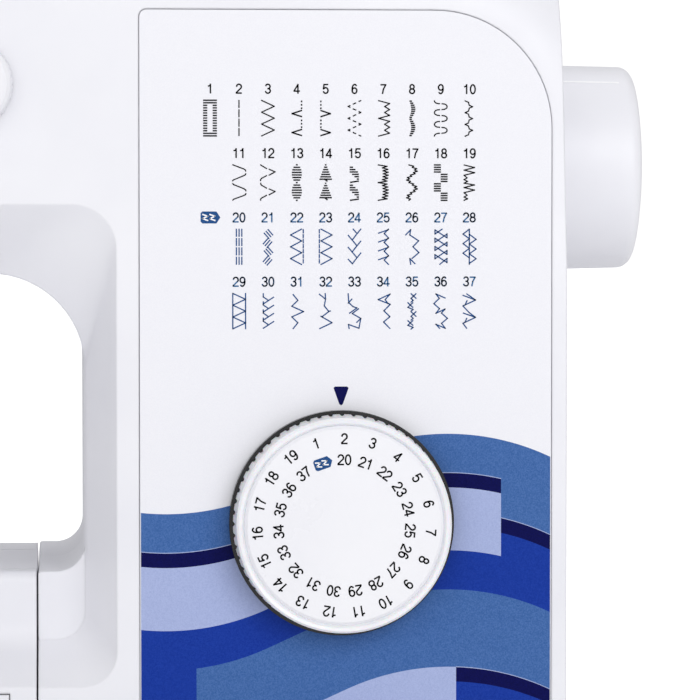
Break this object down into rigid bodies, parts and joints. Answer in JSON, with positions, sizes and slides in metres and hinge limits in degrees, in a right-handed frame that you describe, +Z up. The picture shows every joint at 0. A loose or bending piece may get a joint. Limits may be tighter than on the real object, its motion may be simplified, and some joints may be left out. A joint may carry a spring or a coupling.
{
  "type": "sewing machine",
  "caption": "Free-arm domestic sewing machine with a printed stitch chart, a stitch pattern dial, a handwheel and a slide-off flat bed.",
  "frame": {"origin": "on the table, under the middle of the machine's bounding box", "axes": "+X to the handwheel, -Y to the person sewing, +Z up"},
  "size_m": [0.4244, 0.16, 0.3156],
  "materials": {
    "casing_white": "satin moulded ABS, faint grain",
    "panel_white": "smooth printed overlay",
    "dial_black": "smooth gloss",
    "dial_white": "smooth satin, printed numbers",
    "dial_rim": "milky plastic with fine flutes",
    "knob_white": "satin moulded ABS",
    "frame_aluminium": "as-cast",
    "steel": "ground",
    "chrome": "polished",
    "bronze": "oil-impregnated sintered bronze",
    "black_plastic": "moulded, matte",
    "grey_plastic": "moulded, matte",
    "clear_cover": "clear acrylic",
    "belt_rubber": "ribbed rubber",
    "foot_rubber": "soft rubber",
    "circuit_green": "solder-masked board",
    "motor_steel": "painted steel can",
    "bobbin_plastic": "clear plastic"
  },
  "bodies": {
    "root": {"base_plate": "grey_plastic", "rubber_feet": "foot_rubber", "frame_casting": "frame_aluminium", "front_cover": "casing_white", "rear_cover": "casing_white", "face_cover": "casing_white", "free_arm_cover": "casing_white", "lamp": "clear_cover", "pattern_panel": "panel_white", "cover_screws": "steel", "pivot_pins": "steel", "shaft_bushes": "bronze", "motor": "motor_steel", "drive_belts": "belt_rubber", "bobbin_case": "black_plastic", "needle_plate": "chrome", "tension_discs": "chrome", "power_inlet": "black_plastic", "circuit_board": "circuit_green"},
    "main_shaft": {"main_shaft": "steel", "crank_disc": "steel", "handwheel": "casing_white", "shaft_pulleys": "grey_plastic"},
    "motor_rotor": {"motor_pulley": "steel"},
    "lower_shaft": {"lower_shaft": "steel", "lower_timing_pulley": "steel", "lower_bevel_gear": "grey_plastic"},
    "rotary_hook": {"rotary_hook": "steel", "hook_bevel_gear": "grey_plastic"},
    "bobbin": {"bobbin": "bobbin_plastic"},
    "bobbin_cover": {"bobbin_cover": "clear_cover"},
    "flatbed_box": {"flatbed_box": "casing_white"},
    "flatbed_lid": {"flatbed_lid": "casing_white"},
    "needle_bar_frame": {"needle_bar_frame": "frame_aluminium"},
    "needle_bar": {"needle_bar": "chrome", "needle_bar_clamp": "steel", "needle_clamp": "chrome", "needle": "chrome"},
    "connecting_link": {"connecting_link": "steel"},
    "take_up_lever": {"take_up_lever": "chrome"},
    "presser_bar": {"presser_bar": "chrome", "presser_spring": "steel", "foot_holder": "chrome"},
    "presser_foot": {"presser_foot": "chrome"},
    "presser_lifter": {"presser_lifter": "black_plastic"},
    "feed_bar": {"feed_bar": "steel"},
    "feed_dog": {"feed_dog": "steel"},
    "pattern_dial": {"pattern_dial": "dial_white", "dial_grip_ring": "dial_rim", "dial_skirt": "dial_black", "pattern_cams": "grey_plastic"},
    "stitch_length_dial": {"stitch_length_dial": "knob_white"},
    "stitch_width_dial": {"stitch_width_dial": "knob_white"},
    "tension_dial": {"tension_dial": "knob_white"},
    "reverse_lever": {"reverse_lever": "knob_white"},
    "winder_slide": {"winder_slide": "grey_plastic"},
    "winder_spindle": {"winder_spindle": "chrome"},
    "carry_handle": {"carry_handle": "grey_plastic"},
    "spool_pin": {"spool_pin": "knob_white"},
    "power_switch": {"power_switch": "black_plastic"}
  },
  "joints": [
    {"name": "main_shaft_turn", "type": "hinge", "parent": "root", "child": "main_shaft", "pos_m": [0, 0.008, 0.2277], "axis": [1, 0, 0], "continuous": true},
    {"name": "motor_turn", "type": "hinge", "parent": "root", "child": "motor_rotor", "pos_m": [0.15, 0.03, 0.062], "axis": [1, 0, 0], "continuous": true},
    {"name": "lower_shaft_turn", "type": "hinge", "parent": "root", "child": "lower_shaft", "pos_m": [0, -0.0092, 0.054], "axis": [1, 0, 0], "continuous": true},
    {"name": "hook_turn", "type": "hinge", "parent": "root", "child": "rotary_hook", "pos_m": [-0.1526, -0.0092, 0.07], "axis": [0, 0, 1], "continuous": true},
    {"name": "bobbin_turn", "type": "hinge", "parent": "root", "child": "bobbin", "pos_m": [-0.1526, -0.0092, 0.075], "axis": [0, 0, 1], "continuous": true},
    {"name": "bobbin_cover_slide", "type": "slide", "parent": "root", "child": "bobbin_cover", "axis": [0, 1, 0], "range_m": [-0.034, 0]},
    {"name": "flatbed_slide", "type": "slide", "parent": "root", "child": "flatbed_box", "axis": [1, 0, 0], "range_m": [-0.19, 0]},
    {"name": "flatbed_lid_hinge", "type": "hinge", "parent": "flatbed_box", "child": "flatbed_lid", "pos_m": [-0.105, -0.0627, 0.0256], "axis": [1, 0, 0], "range_deg": [0, 80]},
    {"name": "zigzag_swing", "type": "hinge", "parent": "root", "child": "needle_bar_frame", "pos_m": [-0.1526, 0.008, 0.277], "axis": [0, 1, 0], "range_deg": [-1.1, 1.1]},
    {"name": "needle_bar_stroke", "type": "slide", "parent": "needle_bar_frame", "child": "needle_bar", "axis": [0, 0, 1], "range_m": [-0.03, 0]},
    {"name": "link_swing", "type": "hinge", "parent": "needle_bar", "child": "connecting_link", "pos_m": [-0.1416, 0.008, 0.2107], "axis": [1, 0, 0], "range_deg": [-25, 25]},
    {"name": "take_up_swing", "type": "hinge", "parent": "root", "child": "take_up_lever", "pos_m": [-0.122, 0.01, 0.262], "axis": [1, 0, 0], "range_deg": [0, 35]},
    {"name": "presser_bar_lift", "type": "slide", "parent": "root", "child": "presser_bar", "axis": [0, 0, 1], "range_m": [-0.006, 0], "deforming": ["presser_spring"]},
    {"name": "presser_foot_tilt", "type": "hinge", "parent": "presser_bar", "child": "presser_foot", "pos_m": [-0.1526, 0.017, 0.0987], "axis": [1, 0, 0], "range_deg": [-8, 0]},
    {"name": "presser_lifter_turn", "type": "hinge", "parent": "root", "child": "presser_lifter", "pos_m": [-0.138, 0.04, 0.155], "axis": [0, 1, 0], "range_deg": [0, 75]},
    {"name": "feed_drop", "type": "slide", "parent": "root", "child": "feed_bar", "axis": [0, 0, 1], "range_m": [-0.0024, 0]},
    {"name": "feed_stroke", "type": "slide", "parent": "feed_bar", "child": "feed_dog", "axis": [0, 1, 0], "range_m": [-0.0022, 0.0022]},
    {"name": "pattern_dial_turn", "type": "hinge", "parent": "root", "child": "pattern_dial", "pos_m": [0.0984, -0.07, 0.1044], "axis": [0, 1, 0], "continuous": true},
    {"name": "stitch_length_turn", "type": "hinge", "parent": "root", "child": "stitch_length_dial", "pos_m": [-0.03, -0.07, 0.255], "axis": [0, 1, 0], "range_deg": [0, 280]},
    {"name": "stitch_width_turn", "type": "hinge", "parent": "root", "child": "stitch_width_dial", "pos_m": [-0.08, -0.07, 0.255], "axis": [0, 1, 0], "range_deg": [0, 280]},
    {"name": "tension_turn", "type": "hinge", "parent": "root", "child": "tension_dial", "pos_m": [-0.16, -0.07, 0.252], "axis": [0, 1, 0], "range_deg": [-150, 150]},
    {"name": "reverse_press", "type": "hinge", "parent": "root", "child": "reverse_lever", "pos_m": [0.0984, -0.042, 0.03], "axis": [1, 0, 0], "range_deg": [0, 12], "stiffness_Nm_per_rad": 0.5, "springref_deg": -5.73},
    {"name": "winder_shift", "type": "slide", "parent": "root", "child": "winder_slide", "axis": [1, 0, 0], "range_m": [0, 0.006]},
    {"name": "winder_turn", "type": "hinge", "parent": "winder_slide", "child": "winder_spindle", "pos_m": [0.14, 0.004, 0.3], "axis": [0, 0, 1], "continuous": true},
    {"name": "handle_fold", "type": "hinge", "parent": "root", "child": "carry_handle", "pos_m": [-0.044, 0.033, 0.289], "axis": [1, 0, 0], "range_deg": [0, 90]},
    {"name": "spool_pin_pull", "type": "slide", "parent": "root", "child": "spool_pin", "axis": [0, 0, 1], "range_m": [0, 0.038]},
    {"name": "switch_rock", "type": "hinge", "parent": "root", "child": "power_switch", "pos_m": [0.1725, 0.041, 0.032], "axis": [0, 1, 0], "range_deg": [-8, 8]}
  ],
  "couplings": [
    {"joint": "motor_turn", "follows": "main_shaft_turn", "ratio": 5},
    {"joint": "lower_shaft_turn", "follows": "main_shaft_turn", "ratio": 2},
    {"joint": "hook_turn", "follows": "main_shaft_turn", "ratio": -2},
    {"joint": "presser_lifter_turn", "follows": "presser_bar_lift", "rad_per_m": -218.16}
  ]
}
